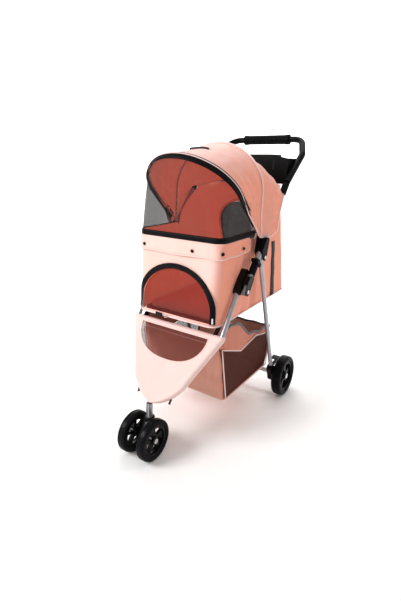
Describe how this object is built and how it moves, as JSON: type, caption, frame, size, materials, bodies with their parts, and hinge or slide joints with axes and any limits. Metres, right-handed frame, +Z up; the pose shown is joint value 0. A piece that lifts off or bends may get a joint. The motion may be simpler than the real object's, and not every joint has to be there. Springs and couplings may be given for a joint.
{
  "type": "pet stroller",
  "caption": "Folding pet stroller with a fabric cabin, hooped canopy, mesh windows and door, cup-holder tray, under basket, braked rear wheels and a swivelling twin front wheel.",
  "frame": {"origin": "on the floor under the middle of the bounding box", "axes": "+X to the stroller's left, -Y to the front, +Z up"},
  "size_m": [0.45, 0.8365, 0.9738],
  "materials": {
    "black_tyre": "moulded rubber, soft sheen",
    "black_gloss": "glossy moulding",
    "black_matte": "matte moulding",
    "grey_tube": "silver-grey satin paint",
    "steel": "plain steel",
    "grip_rubber": "ribbed matte rubber",
    "pink_fabric": "coated woven polyester",
    "pink_cushion": "padded quilted polyester",
    "orange_fabric": "woven polyester",
    "black_mesh": "open mesh",
    "brown_mesh": "open mesh",
    "black_webbing": "woven tape",
    "board": "stiff board"
  },
  "bodies": {
    "cabin": {"floor_frame": "steel", "floor_board": "board", "floor_cushion": "pink_cushion", "cabin_fabric": "pink_fabric", "cabin_zips": "black_webbing", "skirt_flap": "pink_fabric", "skirt_snaps": "steel", "rear_window_mesh": "black_mesh", "side_straps": "black_webbing", "basket_fabric": "orange_fabric", "basket_mesh": "brown_mesh"},
    "front_door": {"front_door_mesh": "brown_mesh"},
    "front_legs": {"front_leg_left": "grey_tube", "front_leg_right": "grey_tube", "front_crossbar": "grey_tube", "steering_head": "grey_tube", "front_panel": "pink_fabric", "front_panel_mesh": "brown_mesh", "hinge_housing_left": "black_matte", "hinge_housing_right": "black_matte", "fold_pins": "steel"},
    "caster": {"caster_bracket": "black_gloss", "caster_stem": "steel", "front_axle": "steel"},
    "handle_frame": {"handle_tube_left": "grey_tube", "handle_tube_right": "grey_tube", "handle_loop": "black_matte", "handle_sockets": "black_matte", "handle_grip": "grip_rubber", "console_tray": "black_gloss", "upper_bracket_left": "black_matte", "upper_bracket_right": "black_matte", "bracket_pins": "steel", "lock_spring_left": "steel", "lock_spring_right": "steel", "canopy_rear_fabric": "pink_fabric"},
    "rear_legs": {"rear_leg_left": "grey_tube", "rear_leg_right": "grey_tube", "wheel_bracket_left": "black_gloss", "wheel_bracket_right": "black_gloss", "rear_axle": "steel", "rear_cross_tube": "grey_tube", "brake_pins": "steel"},
    "canopy_mid": {"mid_hoop": "steel", "canopy_front_fabric": "pink_fabric"},
    "canopy_front": {"front_hoop": "steel", "hoop_zip_band": "black_webbing", "dome_mesh": "black_mesh"},
    "lock_slider_left": {"lock_slider_left": "black_matte"},
    "brake_pedal_left": {"brake_pedal_left": "black_matte"},
    "rear_wheel_left": {"rear_tyre_left": "black_tyre", "rear_hub_left": "black_gloss"},
    "front_wheel_left": {"front_tyre_left": "black_tyre", "front_hub_left": "black_gloss"},
    "lock_slider_right": {"lock_slider_right": "black_matte"},
    "brake_pedal_right": {"brake_pedal_right": "black_matte"},
    "rear_wheel_right": {"rear_tyre_right": "black_tyre", "rear_hub_right": "black_gloss"},
    "front_wheel_right": {"front_tyre_right": "black_tyre", "front_hub_right": "black_gloss"}
  },
  "joints": [
    {"name": "frame_fold", "type": "hinge", "parent": "front_legs", "child": "handle_frame", "pos_m": [0, -0.0905, 0.4845], "axis": [-1, 0, 0], "range_deg": [0, 141.6], "deforming": ["cabin_fabric", "cabin_zips", "skirt_flap", "skirt_snaps", "rear_window_mesh", "side_straps", "floor_cushion", "front_door_mesh", "basket_fabric", "basket_mesh"]},
    {"name": "front_leg_swing", "type": "hinge", "parent": "cabin", "child": "front_legs", "pos_m": [0, -0.19, 0.3545], "axis": [1, 0, 0], "range_deg": [0, 104.6]},
    {"name": "rear_leg_swing", "type": "hinge", "parent": "handle_frame", "child": "rear_legs", "pos_m": [0, 0.015, 0.5735], "axis": [1, 0, 0], "range_deg": [0, 92.4]},
    {"name": "canopy_fold", "type": "hinge", "parent": "handle_frame", "child": "canopy_mid", "pos_m": [0, 0.022, 0.653], "axis": [-1, 0, 0], "range_deg": [0, 36], "deforming": ["canopy_front_fabric", "canopy_rear_fabric", "dome_mesh"]},
    {"name": "front_hoop_fold", "type": "hinge", "parent": "canopy_mid", "child": "canopy_front", "pos_m": [0, 0.022, 0.653], "axis": [-1, 0, 0], "range_deg": [0, 28.9]},
    {"name": "caster_swivel", "type": "hinge", "parent": "front_legs", "child": "caster", "pos_m": [0, -0.326, 0.1], "axis": [0, 0, 1], "continuous": true},
    {"name": "front_door_hinge", "type": "hinge", "parent": "cabin", "child": "front_door", "pos_m": [0, -0.2028, 0.3995], "axis": [1, 0, 0], "range_deg": [0, 110]},
    {"name": "lock_slide_left", "type": "slide", "parent": "handle_frame", "child": "lock_slider_left", "axis": [0, 0.6547, 0.7559], "range_m": [0, 0.012], "stiffness_N_per_m": 400, "springref_m": -0.004, "deforming": ["lock_spring_left"]},
    {"name": "brake_press_left", "type": "hinge", "parent": "rear_legs", "child": "brake_pedal_left", "pos_m": [0.1645, 0.186, 0.104], "axis": [-1, 0, 0], "range_deg": [0, 18]},
    {"name": "rear_wheel_spin_left", "type": "hinge", "parent": "rear_legs", "child": "rear_wheel_left", "pos_m": [0.207, 0.21, 0.075], "axis": [1, 0, 0], "continuous": true},
    {"name": "front_wheel_spin_left", "type": "hinge", "parent": "caster", "child": "front_wheel_left", "pos_m": [0.0374, -0.355, 0.0625], "axis": [1, 0, 0], "continuous": true},
    {"name": "lock_slide_right", "type": "slide", "parent": "handle_frame", "child": "lock_slider_right", "axis": [0, 0.6547, 0.7559], "range_m": [0, 0.012], "stiffness_N_per_m": 400, "springref_m": -0.004, "deforming": ["lock_spring_right"]},
    {"name": "brake_press_right", "type": "hinge", "parent": "rear_legs", "child": "brake_pedal_right", "pos_m": [-0.1645, 0.186, 0.104], "axis": [-1, 0, 0], "range_deg": [0, 18]},
    {"name": "rear_wheel_spin_right", "type": "hinge", "parent": "rear_legs", "child": "rear_wheel_right", "pos_m": [-0.207, 0.21, 0.075], "axis": [1, 0, 0], "continuous": true},
    {"name": "front_wheel_spin_right", "type": "hinge", "parent": "caster", "child": "front_wheel_right", "pos_m": [-0.0374, -0.355, 0.0625], "axis": [1, 0, 0], "continuous": true}
  ],
  "couplings": [
    {"joint": "front_leg_swing", "follows": "frame_fold", "ratio": 0.738},
    {"joint": "rear_leg_swing", "follows": "frame_fold", "ratio": 0.6516},
    {"joint": "front_hoop_fold", "follows": "canopy_fold", "ratio": 0.8}
  ]
}
